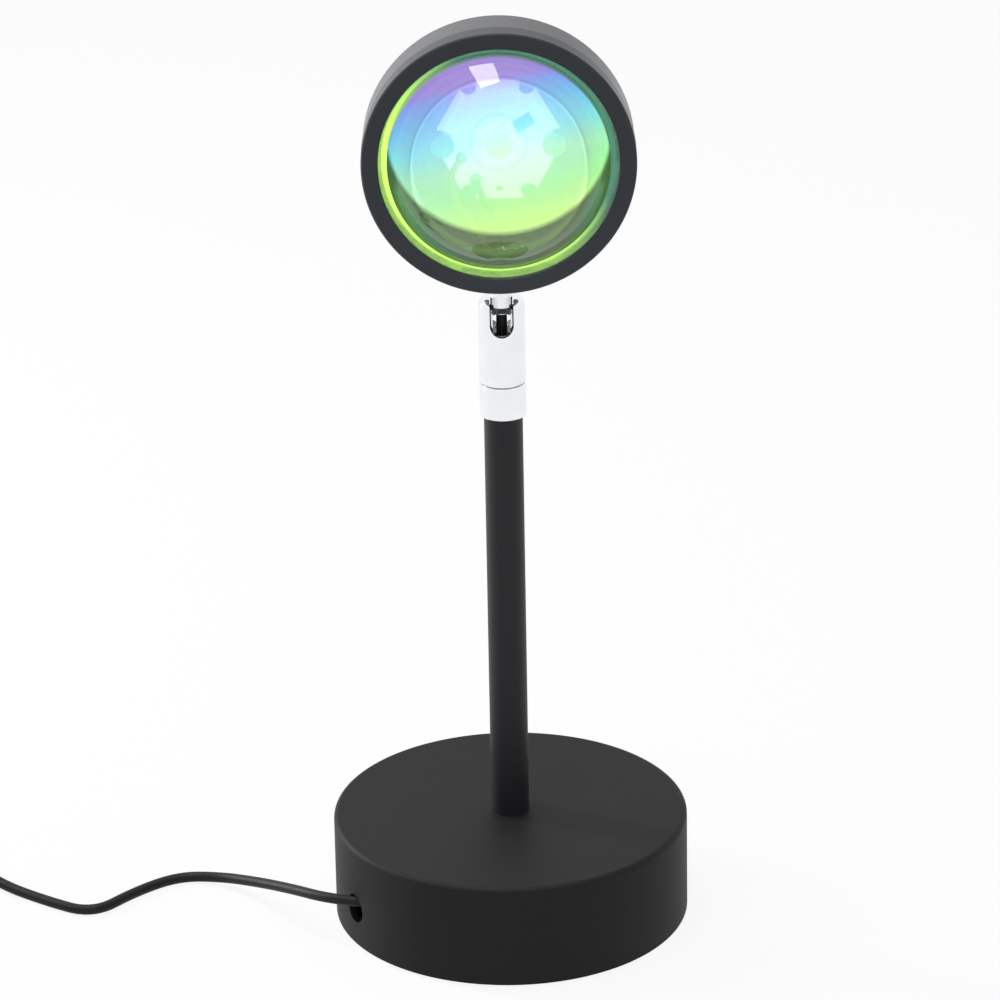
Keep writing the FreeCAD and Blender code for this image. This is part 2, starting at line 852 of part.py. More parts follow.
def make_swivel_bolt():
    """The hollow bolt that the cord runs through: its head hangs in the top of the pole."""
    body = new_body("swivel_bolt")
    bore, head = s.bolt_bore / 2, s.bolt_head_diameter / 2
    under = pole_top - s.spring_washer_thickness
    low, high = under - s.bolt_head_height, plug_top - s.bolt_short
    turned(body, [
        (bore, low), (head, low), (head, under), (bolt_radius, under), (bolt_radius, high), (bore, high),
    ])


def make_spring_washer():
    ring("spring_washer", bolt_hole, s.bolt_head_diameter / 2, pole_top - s.spring_washer_thickness, pole_top)


def make_swivel_washer():
    ring("swivel_washer", bolt_hole, s.swivel_washer_diameter / 2, collar_top, sleeve_bottom)


def make_plug_ring():
    """The threaded ring that closes the sleeve and takes the bolt."""
    ring("sleeve_plug", bolt_hole, bore_radius - s.running_gap, sleeve_bottom, plug_top)


def make_swivel_sleeve():
    """The chromed sleeve: domed over the ball, with a slot through front and back for the stem."""
    body = new_body("swivel_sleeve")
    hole = s.sleeve_top_hole / 2
    turned(body, [
        (bore_radius, sleeve_bottom), (chrome_radius, sleeve_bottom), (chrome_radius, sleeve_top),
        (hole, sleeve_top), (hole, pivot_height), (bore_radius, pivot_height),
    ])
    balled(body, pivot_height, bore_radius, cut=True)
    rounded(body, [(chrome_radius, sleeve_top)], s.sleeve_top_round)
    chamfered(body, [(chrome_radius, sleeve_bottom)], s.chrome_edge)
    cut_across(body, rectangle(s.sleeve_slot, s.sleeve_bore, pivot_height))
    bored(body, ZERO, chrome_radius, pivot_height, Z_TO_FRONT, s.sleeve_slot, s.chrome_diameter)


def make_seat_spring():
    """A dished washer that presses the seat up against the ball."""
    body = new_body("seat_spring")
    inner, outer, thick = bolt_radius + s.ball_gap, ball_radius, s.seat_spring_thickness
    turned(body, [
        (inner, spring_top - thick), (outer, plug_top), (outer, plug_top + thick), (inner, spring_top),
    ])


def make_ball_seat():
    body = new_body("ball_seat")
    inner, cup, outer = s.seat_bore / 2, s.seat_cup_diameter / 2, bore_radius - s.seat_gap
    cup_high = pivot_height - root(cup_radius * cup_radius - cup * cup)
    turned(body, [(inner, spring_top), (outer, spring_top), (outer, cup_high), (inner, cup_high)])
    balled(body, pivot_height, cup_radius, cut=True)


# ---------------------------------------------------------------- tilting stem
cavity_radius = housing_radius - s.housing_side_wall
stem_radius = s.stem_diameter / 2
stem_shoulder = head_height - housing_radius + s.stem_seat_depth
thread_radius = s.stem_thread / 2
stem_hole = s.stem_thread + 2 * s.thread_gap
washer_radius = s.stem_washer_diameter / 2
washer_low = head_height - root(cavity_radius * cavity_radius - washer_radius * washer_radius)
stem_nut_low = washer_low + s.stem_washer_thickness
stem_top = stem_nut_low + s.stem_nut_height + s.stem_end
cord_end = stem_top + s.cord_above_stem


def make_ball_stem():
    """The ball and its hollow neck in one, with a window across it that lets the cord bend."""
    body = new_body("ball_stem")
    turned(body, [
        (ZERO, pivot_height), (stem_radius, pivot_height), (stem_radius, stem_shoulder),
        (thread_radius, stem_shoulder), (thread_radius, stem_top), (ZERO, stem_top),
    ])
    balled(body, pivot_height, ball_radius)
    bored(body, ZERO, ZERO, pivot_height - ball_radius, UPRIGHT, s.stem_bore, stem_top)
    half, corner = s.stem_window / 2, s.stem_window_round
    top = pivot_height + s.stem_window_above
    below = pivot_height - s.sleeve_bore
    cut_across(body, [
        (-half, below), (half, below), (half, top - corner), (half - corner, top), (corner - half, top),
        (-half, top - corner),
    ], arcs={2: -corner, 4: -corner})


def make_stem_washer():
    ring("stem_washer", stem_hole / 2, washer_radius, washer_low, stem_nut_low)


def make_stem_nut():
    make_nut("stem_nut", s.stem_nut_flats, stem_hole, stem_nut_low, s.stem_nut_height)


# ---------------------------------------------------------------- head
bezel_opening = housing_radius + s.bezel_proud - s.bezel_face
bezel_radius = housing_radius + s.bezel_proud
bezel_front = s.housing_depth + s.bezel_depth
lip_under = bezel_front - s.bezel_lip
bezel_inner = bezel_radius - s.bezel_wall
spigot_outer = bezel_inner - s.spigot_gap
spigot_inner = spigot_outer - s.spigot_wall
spigot_end = lip_under - s.spigot_short
lens_radius = spigot_inner - s.lens_gap
flange_low = lip_under - s.lens_flange
gasket_low = flange_low - s.gasket_thickness
filter_ledge = gasket_low - s.filter_thickness
board_low = s.housing_back_wall + s.heat_pad_thickness
board_top = board_low + s.board_thickness
notch_reach = s.board_notch_circle / 2


def make_head_housing():
    """The cup of the head: a thick side wall that takes the stem, and a spigot for the bezel."""
    body = new_body("head_housing")
    turned(body, [
        (ZERO, ZERO), (housing_radius, ZERO), (housing_radius, s.housing_depth),
        (spigot_outer, s.housing_depth), (spigot_outer, spigot_end), (spigot_inner, spigot_end),
        (spigot_inner, filter_ledge), (cavity_radius, filter_ledge),
        (cavity_radius, s.housing_back_wall), (ZERO, s.housing_back_wall),
    ])
    rounded(body, [(housing_radius, ZERO)], s.housing_edge_round)
    chamfered(body, [(housing_radius, s.housing_depth)], s.seam_chamfer)
    middle = -(cavity_radius / 2)
    bored(body, ZERO, middle, s.head_back, Z_TO_FRONT, stem_hole, housing_radius)
    spot_face = -(housing_radius - s.stem_seat_depth)
    bored(body, ZERO, spot_face, s.head_back, Z_TO_FRONT, s.stem_diameter + 2 * s.thread_gap,
          s.housing_side_wall)
    depth = s.board_screw_length - s.board_thickness - s.heat_pad_thickness
    tapping = bored(body, notch_reach, ZERO, s.housing_back_wall - depth, UPRIGHT,
                    s.board_screw_diameter + s.thread_gap, depth)
    repeated(body, [tapping], BOARD_SCREW_COUNT)
    in_head(body)


def make_front_bezel():
    body = new_body("front_bezel")
    opening = bezel_opening
    turned(body, [
        (bezel_inner, s.housing_depth), (bezel_radius, s.housing_depth), (bezel_radius, bezel_front),
        (opening, bezel_front), (opening, lip_under), (bezel_inner, lip_under),
    ])
    chamfered(body, [(bezel_radius, bezel_front), (opening, bezel_front)], s.bezel_chamfer)
    chamfered(body, [(bezel_radius, s.housing_depth)], s.seam_chamfer)
    in_head(body)


def make_dome_lens():
    """A plano-convex lens with a flange that the bezel's lip holds."""
    body = new_body("dome_lens")
    edge, rise = bezel_opening - s.lens_rim, s.lens_dome_height
    curve = (edge * edge + rise * rise) / (2 * rise)
    turned(body, [(ZERO, flange_low), (lens_radius, flange_low), (lens_radius, lip_under), (ZERO, lip_under)])
    balled(body, lip_under + rise - curve, curve, from_angle=arcsine((curve - rise) / curve))
    in_head(body)


def make_lens_gasket():
    in_head(ring("lens_gasket", lens_radius - s.gasket_width, lens_radius, gasket_low, flange_low))


def make_colour_filter():
    body = new_body("colour_filter")
    turned(body, [
        (ZERO, filter_ledge), (lens_radius, filter_ledge), (lens_radius, gasket_low), (ZERO, gasket_low),
    ])
    in_head(body)


# ---------------------------------------------------------------- light source
def make_star(label, low, thickness):
    """A hexagonal plate with a round notch at each point."""
    body = new_body(label)
    padded(body, hexagon(s.board_flats), low, thickness)
    notch = bored(body, notch_reach, ZERO, low, UPRIGHT, s.board_notch, thickness)
    repeated(body, [notch], BOARD_POINT_COUNT)
    in_head(body)


def make_led_emitter():
    body = new_body("led_emitter")
    padded(body, rectangle(s.emitter_side, s.emitter_side), board_top, s.emitter_base)
    low = board_top + s.emitter_base
    rod(body, ZERO, ZERO, low, low + s.emitter_disc_height, s.emitter_disc)
    in_head(body, s.emitter_turn)


def make_chip_resistor():
    body = new_body("chip_resistor")
    corners = rectangle(s.resistor_length, s.resistor_width)
    outline = [(x + s.resistor_across, y + s.resistor_up) for x, y in corners]
    padded(body, outline, board_top, s.resistor_height)
    in_head(body, s.emitter_turn)


def make_board_screws():
    body = new_body("board_screws")
    tip = board_top - s.board_screw_length
    head = rod(body, notch_reach, ZERO, board_top, board_top + s.board_screw_head_height, s.board_screw_head)
    shank = rod(body, notch_reach, ZERO, tip, board_top, s.board_screw_diameter)
    repeated(body, [head, shank], BOARD_SCREW_COUNT)
    in_head(body)


def make_lead_wires():
    """Two thin leads from the end of the cord, in a loose curve to the board."""
    solids = []
    for side, points in ((-1, FRONT_LEAD), (1, BACK_LEAD)):
        start = (side * s.lead_spread.value, (cord_end - head_height).value, s.head_back.value)
        edges, radii = rounded_route([start] + points)
        solids.append(tube_along(edges, s.lead_diameter.value)[0])
    in_head(add_tubes("lead_wires", solids))


# ---------------------------------------------------------------- cord
def make_inner_cord():
    """From the hole in the foot, through the clamp, round under the nut and up the pole."""
    out = Vector(cord_out_x.value, cord_out_y.value, 0)
    exit_point, outside = Vector(*RUN[0]), Vector(*RUN[1])
    inwards = (exit_point - outside).normalize()
    high, low = Vector(0, 0, cord_clamped.value), Vector(0, 0, s.cord_lie.value)
    route = [
        exit_point, exit_point + inwards * s.cord_straight_in.value, out * s.cord_clamp_end.value + high,
        out * s.cord_drop_start.value + high, out * s.cord_drop_end.value + low, low,
        Vector(0, 0, s.cord_join_height.value),
    ]
    reaches = {1: s.cord_turn_in.value, 2: s.cord_turn_clamp.value}
    make_cord("inner_cord", route, s.inner_bend_radius.value, reaches)


def make_joint_cord():
    """The stretch of the cord that bends in the ball when the head tilts."""
    body = new_body("joint_cord")
    rod(body, ZERO, ZERO, s.cord_join_height, cord_end, s.cord_diameter)


# ---------------------------------------------------------------- inline switch
switch_top_wall = s.switch_height - s.switch_wall
skirt_top = switch_top_wall - s.button_clearance
skirt_low = skirt_top - s.button_skirt_height
block_top = skirt_low - s.button_travel - s.block_clearance


def in_switch(body):
    place(body, s.switch_x, s.switch_y, ZERO, Rotation(Vector(0, 0, 1), s.switch_heading.value))


def make_switch_shell(label, low, high, floor_low, cavity_low, cavity_high):
    """One half of the switch housing, with a half-round notch for the cord at each end."""
    body = new_body(label)
    padded(body, rectangle(s.switch_length, s.switch_width), low, high - low)
    x, y = s.switch_length / 2, s.switch_width / 2
    upright = straight_edges(body, 2, [(x, y), (-x, y), (x, -y), (-x, -y)])
    eased(body, upright, 4, s.switch_round)
    outer_rim = [f"Edge{n}" for n, edge in enumerate(body.Shape.Edges, start=1)
                 if all(abs(v.Point.z - floor_low.value) < 1e-4 for v in edge.Vertexes)]
    eased(body, outer_rim, 8, s.switch_edge_round)
    inside = rectangle(s.switch_length - 2 * s.switch_wall, s.switch_width - 2 * s.switch_wall)
    hollowed(body, inside, cavity_low, cavity_high - cavity_low)
    bored(body, -s.switch_length, ZERO, s.switch_split, ALONG_X, s.cord_diameter + 2 * s.thread_gap,
          2 * s.switch_length)
    return body


def make_switch_base():
    in_switch(make_switch_shell("switch_base", ZERO, s.switch_split, ZERO, s.switch_wall, s.switch_split))


def make_switch_cover():
    body = make_switch_shell("switch_cover", s.switch_split, s.switch_height, s.switch_height,
                             s.switch_split, switch_top_wall)
    opening = rectangle(s.button_length + 2 * s.button_gap, s.button_width + 2 * s.button_gap)
    hollowed(body, opening, switch_top_wall, s.switch_wall)
    in_switch(body)


def make_switch_contacts():
    body = new_body("switch_contacts")
    padded(body, rectangle(s.block_length, s.block_width), s.switch_wall, block_top - s.switch_wall)
    in_switch(body)


def make_switch_button():
    """A push button with a skirt that keeps it under the cover."""
    body = new_body("switch_button")
    skirt = rectangle(s.button_length + 2 * s.button_skirt, s.button_width + 2 * s.button_skirt)
    padded(body, skirt, skirt_low, s.button_skirt_height)
    top = s.switch_height + s.button_proud
    padded(body, rectangle(s.button_length, s.button_width), skirt_top, top - skirt_top)
    rim = [f"Edge{n}" for n, edge in enumerate(body.Shape.Edges, start=1)
           if all(abs(v.Point.z - top.value) < 1e-4 for v in edge.Vertexes)]
    eased(body, rim, 4, s.button_round)
    in_switch(body)


# ---------------------------------------------------------------- coil, tie and plug
coil_low = s.cord_diameter / 2 + s.tie_thickness + s.tie_gap


def coil_point(turns):
    """A place on the coil, so many turns from its start: it spirals in and out again, layer by layer."""
    phase = turns % (2 * COIL_TURN_COUNT)
    radius = s.coil_inner_radius.value + s.coil_pitch.value * abs(phase - COIL_TURN_COUNT)
    height = coil_low.value
    for layer in range(1, COIL_LAYER_COUNT):
        climb = (turns - layer * COIL_TURN_COUNT) / 0.5 + 0.5
        climb = min(max(climb, 0.0), 1.0)
        height += s.coil_pitch.value * climb * climb * (3 - 2 * climb)
    angle = math.pi + 2 * math.pi * turns
    across = s.coil_x.value + radius * math.cos(angle)
    along = s.coil_y.value + radius * math.sin(angle)
    return Vector(across, along, height)


def biarc(a, a_way, b, b_way):
    """Two arcs from a to b that keep both tangents."""
    gap = b - a
    both = a_way + b_way
    bend = 2 * (1 - a_way.dot(b_way))
    along = gap.dot(both)
    leg = (math.sqrt(along * along + bend * gap.dot(gap)) - along) / bend
    corner_a, corner_b = a + a_way * leg, b - b_way * leg
    join = (corner_a + corner_b) * 0.5
    return [arc_between(a, corner_a, join), arc_between(join, corner_b, b)]


def make_cord_coil():
    """The put-away length: one unbroken tube, with a straight end at each side."""
    turns = COIL_LAYER_COUNT * COIL_TURN_COUNT
    steps = turns * COIL_NODE_COUNT
    places = [coil_point(k / COIL_NODE_COUNT) for k in range(steps + 1)]
    nudge = 0.5 / COIL_NODE_COUNT
    ways = []
    for k in range(steps + 1):
        middle = k / COIL_NODE_COUNT
        ways.append((coil_point(middle + nudge) - coil_point(middle - nudge)).normalize())
    ways[0] = ways[-1] = Vector(0, -1, 0)
    straight = ways[0] * s.cord_diameter.value
    edges = [Part.LineSegment(places[0] - straight, places[0]).toShape()]
    for k in range(steps):
        edges += biarc(places[k], ways[k], places[k + 1], ways[k + 1])
    edges.append(Part.LineSegment(places[-1], places[-1] + straight).toShape())
    solid, length = tube_along(edges, s.cord_diameter.value)
    add_tubes("cord_coil", [solid])
    print(f"cord_coil: {length:.1f} mm long, least gap to itself {least_gap(edges):.2f} mm")


def least_gap(edges):
    """The least clear distance between stretches of the coil that are not neighbours along it."""
    cord = s.cord_diameter.value
    step = cord / 2
    points = Part.Wire(edges).discretize(Distance=step)
    apart = int(4 * cord / step)
    nearest = min(
        (a - b).Length
        for i, a in enumerate(points)
        for b in points[i + apart:]
        if abs(a.x - b.x) < 2 * cord and abs(a.y - b.y) < 2 * cord
    )
    return nearest - cord


def make_cord_tie():
    """A strap round the turns on the side of the coil away from its ends."""
    body = new_body("cord_tie")
    radius = s.cord_diameter / 2
    pitch, layers, turns = s.coil_pitch, COIL_LAYER_COUNT, COIL_TURN_COUNT
    inner_x = s.coil_inner_radius + pitch / 2 - radius - s.tie_gap
    outer_x = inner_x + (turns - 1) * pitch + 2 * (radius + s.tie_gap)
    low = s.tie_thickness
    high = low + (layers - 1) * pitch + 2 * (radius + s.tie_gap)
    thick = s.tie_thickness
    inner = [(inner_x, low), (outer_x, low), (outer_x, high), (inner_x, high)]
    outer = [(inner_x - thick, low - thick), (outer_x + thick, low - thick),
             (outer_x + thick, high + thick), (inner_x - thick, high + thick)]
    sketch = new_sketch(body, "XZ_Plane")
    draw_loop(sketch, outer)
    draw_loop(sketch, inner)
    grown(body, sketch, s.tie_width, both=True)
    eased(body, straight_edges(body, 1, inner), 4, radius)
    eased(body, straight_edges(body, 1, outer), 4, radius + thick)
    place(body, s.coil_x, s.coil_y, ZERO)


plug_middle = s.plug_height / 2
plug_body_end = s.plug_relief_length + s.plug_length


def at_plug(body):
    place(body, s.plug_x, s.plug_y, plug_middle, Rotation(Vector(0, 0, 1), s.plug_heading.value))


def length_pad(body, corners, start, length):
    """An outline across the plug, of width and height, grown along it."""
    sketch = new_sketch(body, "YZ_Plane", start)
    draw_loop(sketch, corners)
    return grown(body, sketch, length)


def make_plug_body():
    """The moulded grip, with a tapered relief that the cord runs into."""
    body = new_body("plug_body")
    length_pad(body, rectangle(s.plug_width, s.plug_height), s.plug_relief_length, s.plug_length)
    y, z = s.plug_width / 2, s.plug_height / 2
    eased(body, straight_edges(body, 0, [(y, z), (-y, z), (y, -z), (-y, -z)]), 4, s.plug_round)
    relief = body.newObject("PartDesign::AdditiveCone", "plug_body_relief")
    bind(relief, "Radius1", s.plug_relief_tip / 2)
    bind(relief, "Radius2", s.plug_relief_diameter / 2)
    bind(relief, "Height", s.plug_relief_length)
    place(relief, ZERO, ZERO, ZERO, ALONG_X)
    doc.recompute()
    at_plug(body)


def make_plug_shell():
    body = new_body("plug_shell")
    sketch = new_sketch(body, "YZ_Plane", plug_body_end)
    inside = 2 * s.plug_shell_wall
    draw_loop(sketch, rectangle(s.plug_shell_width, s.plug_shell_height))
    draw_loop(sketch, rectangle(s.plug_shell_width - inside, s.plug_shell_height - inside))
    grown(body, sketch, s.plug_shell_length)
    at_plug(body)


def make_plug_insert():
    """The tongue that carries the contacts, against the top wall of the shell."""
    body = new_body("plug_insert")
    width = s.plug_shell_width - 2 * s.plug_shell_wall - 2 * s.plug_insert_gap
    low = s.plug_shell_height / 2 - s.plug_shell_wall - s.plug_insert_gap - s.plug_insert_height
    length_pad(body, rectangle(width, s.plug_insert_height, low), plug_body_end,
               s.plug_shell_length - s.plug_insert_short)
    at_plug(body)


# ---------------------------------------------------------------- the whole lamp
make_base_shell()
make_counterweight()
make_bottom_cover()
make_foot_pad()
make_cover_screws()
make_cord_clamp()
make_clamp_screws()
make_pole_tube()
make_pole_nipple()
make_pole_washer()
make_pole_nut()
make_inner_cord()
make_lower_collar()
make_spring_washer()
make_swivel_bolt()
make_swivel_washer()
make_plug_ring()
make_swivel_sleeve()
make_seat_spring()
make_ball_seat()
make_ball_stem()
make_joint_cord()
make_stem_washer()
make_stem_nut()
make_head_housing()
make_front_bezel()
make_dome_lens()
make_lens_gasket()
make_colour_filter()
make_star("thermal_pad", s.housing_back_wall, s.heat_pad_thickness)
make_star("led_board", board_low, s.board_thickness)
make_led_emitter()
make_chip_resistor()
make_board_screws()
make_lead_wires()
make_cord("cord_run", RUN)
make_switch_base()
make_switch_cover()
make_switch_contacts()
make_switch_button()
make_cord("cord_link", LINK)
make_cord_coil()
make_cord_tie()
make_cord("cord_tail", TAIL)
make_plug_body()
make_plug_shell()
make_plug_insert()

doc.recompute()
for thing in doc.Objects:
    if "Invalid" in thing.State or "Error" in thing.State:
        raise RuntimeError(f"{thing.Name} failed: {thing.State}")
for node in NODES:
    if node.Shape.isNull() or not node.Shape.isValid() or not node.Shape.Solids:
        raise RuntimeError(f"{node.Label} has no sound shape")

os.makedirs("parts", exist_ok=True)
for node in NODES:
    node.Shape.exportStep(f"parts/{node.Label}.step")
print(f"{len(NODES)} nodes, {sum(len(node.Shape.Solids) for node in NODES)} solids")
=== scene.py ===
import math

import bpy
from mathutils import Matrix, Vector


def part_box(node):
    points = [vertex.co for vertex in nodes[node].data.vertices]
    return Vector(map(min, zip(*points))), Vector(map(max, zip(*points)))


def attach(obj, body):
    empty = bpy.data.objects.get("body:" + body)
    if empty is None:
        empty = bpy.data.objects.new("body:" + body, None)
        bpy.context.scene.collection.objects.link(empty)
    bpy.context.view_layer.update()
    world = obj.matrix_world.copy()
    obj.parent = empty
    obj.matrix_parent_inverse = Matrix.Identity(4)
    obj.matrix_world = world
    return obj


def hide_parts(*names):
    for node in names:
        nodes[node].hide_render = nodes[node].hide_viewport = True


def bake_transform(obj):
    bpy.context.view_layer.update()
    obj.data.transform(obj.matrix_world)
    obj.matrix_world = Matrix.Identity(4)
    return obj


# A sunset projection lamp on a pale floor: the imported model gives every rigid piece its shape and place,
# and this script adds the cords, the wiring, the small details and all the finishes. Metres, +Z up.

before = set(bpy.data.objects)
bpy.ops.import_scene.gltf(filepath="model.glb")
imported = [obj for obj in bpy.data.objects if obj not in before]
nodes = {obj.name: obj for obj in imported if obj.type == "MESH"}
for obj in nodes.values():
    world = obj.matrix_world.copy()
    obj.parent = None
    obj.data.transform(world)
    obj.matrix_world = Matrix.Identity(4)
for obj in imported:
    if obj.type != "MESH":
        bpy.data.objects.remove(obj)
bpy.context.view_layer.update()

# ---------------------------------------------------------------- sizes and places
MM = 0.001
CORD_THICKNESS = 3.0 * MM
LEAD_THICKNESS = 1.2 * MM

# How many steps the cord in the ball is made of, from its bottom to its top.
BALL_CORD_STEPS = 12

# The camera of the photograph: where it stands, how far it looks down and how far it is tilted.
CAMERA_PLACE = (-0.00134, -1.39333, 0.73343)
CAMERA_DOWN = math.radians(23.564)
CAMERA_TILT = math.radians(-1.05)
CAMERA_LENS = 198.0
SENSOR_WIDTH = 36.0
FARTHEST_SEEN = 20.0

# The cord on the table, from the foot to the switch: points listed along it, in millimetres.
RUN = [
    (-44.4, -23.0, 13.8), (-52.0, -20.6, 13.6), (-62.5, -8.3, 10.4), (-73.0, 5.6, 5.6),
    (-84.0, 16.0, 2.0), (-96.0, 17.5, 1.55), (-108.0, 8.6, 1.55), (-119.4, -4.6, 1.55),
    (-134.0, 4.4, 1.55), (-147.5, 14.5, 1.9), (-158.2, 23.9, 5.5), (-169.2, 26.9, 5.5),
]
# The same from the switch to the coil, and from the coil to the plug.
LINK = [
    (-199.4, 34.9, 5.5), (-209.4, 37.6, 5.5), (-221.0, 39.0, 3.3), (-229.3, 31.6, 2.65),
    (-232.0, 18.0, 2.65), (-232.0, 5.0, 2.65),
]
TAIL = [
    (-232.0, -1.0, 13.15), (-232.0, -10.0, 13.15), (-229.5, -20.5, 8.4), (-221.0, -29.5, 4.4),
    (-210.5, -33.2, 4.1), (-202.62, -34.59, 4.1),
]

# The put-away coil, in millimetres: its centre, its lowest layer, its innermost turn and how far its turns
# and layers lie apart. Its counts follow, and the share of a turn that the climb to a layer takes.
COIL_CENTRE = (-210.5, 2.0)
COIL_LOW = 2.65
COIL_INNER_RADIUS = 11.0
COIL_PITCH = 3.5
COIL_LAYERS = 4
COIL_TURNS_IN_LAYER = 3
COIL_POINTS_IN_TURN = 16
COIL_CLIMB = 0.5

# The two leads in the head: across, forwards from the stem's axis, and above the head's centre.
ORANGE_LEAD = [
    (-0.8, 0.0, -26.8), (-1.0, -0.1, -25.0), (-1.6, -0.3, -21.0), (-5.2, -0.5, -14.0), (-9.0, -0.2, -8.6),
    (-8.6, 1.1, -4.2), (-6.9, 1.1, -2.6),
]
BLACK_LEAD = [
    (0.8, 0.0, -26.8), (1.0, -0.1, -25.0), (1.4, -0.2, -21.5), (-0.5, -0.2, -15.0), (-3.2, 0.6, -9.6),
    (-4.2, 1.1, -6.6),
]

bezel_low, bezel_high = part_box("front_bezel")
HEAD_HEIGHT = (bezel_low[2] + bezel_high[2]) / 2


def in_metres(points, rise=0.0):
    """Points in millimetres, turned into metres and lifted."""
    return [(x * MM, y * MM, z * MM + rise) for x, y, z in points]


# ---------------------------------------------------------------- finishes
class Value:
    """A value that changes over a surface. Arithmetic on it adds the Math nodes."""

    def __init__(self, finish, socket):
        self.finish = finish
        self.socket = socket

    def work(self, operation, first, second=0.0, clamp=False):
        settings = {"operation": operation, "use_clamp": clamp}
        return self.finish.node("ShaderNodeMath", settings, {0: first, 1: second})

    def __add__(self, other):
        return self.work("ADD", self, other)

    def __radd__(self, other):
        return self.work("ADD", other, self)

    def __sub__(self, other):
        return self.work("SUBTRACT", self, other)

    def __rsub__(self, other):
        return self.work("SUBTRACT", other, self)

    def __mul__(self, other):
        return self.work("MULTIPLY", self, other)

    def __rmul__(self, other):
        return self.work("MULTIPLY", other, self)

    def __truediv__(self, other):
        return self.work("DIVIDE", self, other)

    def __gt__(self, other):
        return self.work("GREATER_THAN", self, other)

    def __lt__(self, other):
        return self.work("LESS_THAN", self, other)

    def root(self):
        return self.work("SQRT", self)

    def clipped(self):
        return self.work("ADD", self, 0.0, clamp=True)


class Finish:
    """The nodes of a material, or of the world round the scene, in the making."""

    def __init__(self, name, owner=None):
        self.owner = owner or bpy.data.materials.new(name)
        self.owner.use_nodes = True
        self.tree = self.owner.node_tree
        self.tree.nodes.clear()

    def node(self, kind, settings=None, inputs=None, output=0):
        """Adds a node: its settings first, then the values or links of its sockets."""
        made = self.tree.nodes.new(kind)
        for name, setting in (settings or {}).items():
            if name == "stops":
                self.set_stops(made.color_ramp, setting)
            else:
                setattr(made, name, setting)
        for name, value in (inputs or {}).items():
            if isinstance(value, Value):
                self.tree.links.new(value.socket, made.inputs[name])
            else:
                made.inputs[name].default_value = value
        return Value(self, made.outputs[output]) if made.outputs else None

    @staticmethod
    def set_stops(ramp, stops):
        while len(ramp.elements) > 1:
            ramp.elements.remove(ramp.elements[-1])
        for n, (position, colour) in enumerate(stops):
            element = ramp.elements[0] if n == 0 else ramp.elements.new(position)
            element.position = position
            element.color = (*colour, 1)

    def place(self):
        return self.node("ShaderNodeTexCoord", output="Object")

    def axis(self, number):
        return self.node("ShaderNodeSeparateXYZ", inputs={0: self.place()}, output=number)

    def noise(self, size, detail=2.0, roughness=0.5):
        """A noise with features of about the given size in metres."""
        inputs = {"Vector": self.place(), "Scale": 1 / size, "Detail": detail, "Roughness": roughness}
        return self.node("ShaderNodeTexNoise", inputs=inputs)

    def mixed(self, factor, first, second):
        """One colour turning into another."""
        inputs = {"Factor": factor, 6: as_colour(first), 7: as_colour(second)}
        return self.node("ShaderNodeMix", {"data_type": "RGBA"}, inputs, output=2)

    def ramp(self, factor, stops):
        return self.node("ShaderNodeValToRGB", {"stops": stops}, {0: factor})

    def bump(self, height, depth, strength=1.0):
        inputs = {"Height": height, "Distance": depth, "Strength": strength}
        return self.node("ShaderNodeBump", inputs=inputs)

    def surface(self, **sockets):
        """The shader itself, with its sockets by name."""
        named = {name.replace("_", " "): as_colour(value) for name, value in sockets.items()}
        if "IOR Level" in named:
            named["Specular IOR Level"] = named.pop("IOR Level")
        return self.node("ShaderNodeBsdfPrincipled", inputs=named)

    def shown_by(self, shader):
        self.node("ShaderNodeOutputMaterial", inputs={"Surface": shader})
        return self.owner

    def off_axis(self):
        """How far a point lies from the axis of the lens."""
        across = self.axis(0)
        up = self.axis(2) - HEAD_HEIGHT
        return (across * across + up * up).root()

    def seen_plainly(self):
        """1 for what the camera sees directly, in a reflection or through glass, and 0 for light itself."""
        kinds = ("Is Camera Ray", "Is Glossy Ray", "Is Transmission Ray")
        straight, mirrored, refracted = [self.node("ShaderNodeLightPath", output=kind) for kind in kinds]
        return (straight + mirrored + refracted).clipped()


def as_colour(colour):
    return (*colour, 1) if isinstance(colour, tuple) and len(colour) == 3 else colour


def shade(red, green, blue):
    """A colour as a screen shows it, 0 to 255, turned into light."""
    shown = [part / 255 for part in (red, green, blue)]
    return tuple(c / 12.92 if c <= 0.04045 else ((c + 0.055) / 1.055) ** 2.4 for c in shown)


def darker(colour, by):
    return tuple(c * by for c in colour)


def powder_coat(name, colour, roughness, grain=0.35 * MM, depth=0.02 * MM, gloss=0.3, bloom=0.0):
    """Baked powder paint: a fine even orange peel, a little cloudy in colour and gloss."""
    finish = Finish(name)
    peel = finish.noise(grain, 2.0, 0.6)
    cloud = finish.noise(18 * MM, 3.0)
    tone = peel * 0.6 + cloud * 0.4
    return finish.shown_by(finish.surface(
        Base_Color=finish.mixed(tone, darker(colour, 0.86), darker(colour, 1.14)),
        Roughness=roughness - 0.06 + peel * 0.08 + cloud * 0.04,
        Normal=finish.bump(peel, depth),
        IOR_Level=gloss,
        Sheen_Weight=bloom,
        Sheen_Roughness=0.45,
    ))


def polished_chrome():
    finish = Finish("polished_chrome")
    smear = finish.noise(6 * MM, 3.0)
    return finish.shown_by(finish.surface(
        Base_Color=finish.mixed(smear, shade(232, 234, 237), shade(246, 247, 249)),
        Metallic=1.0,
        Roughness=0.03 + smear * 0.04,
    ))


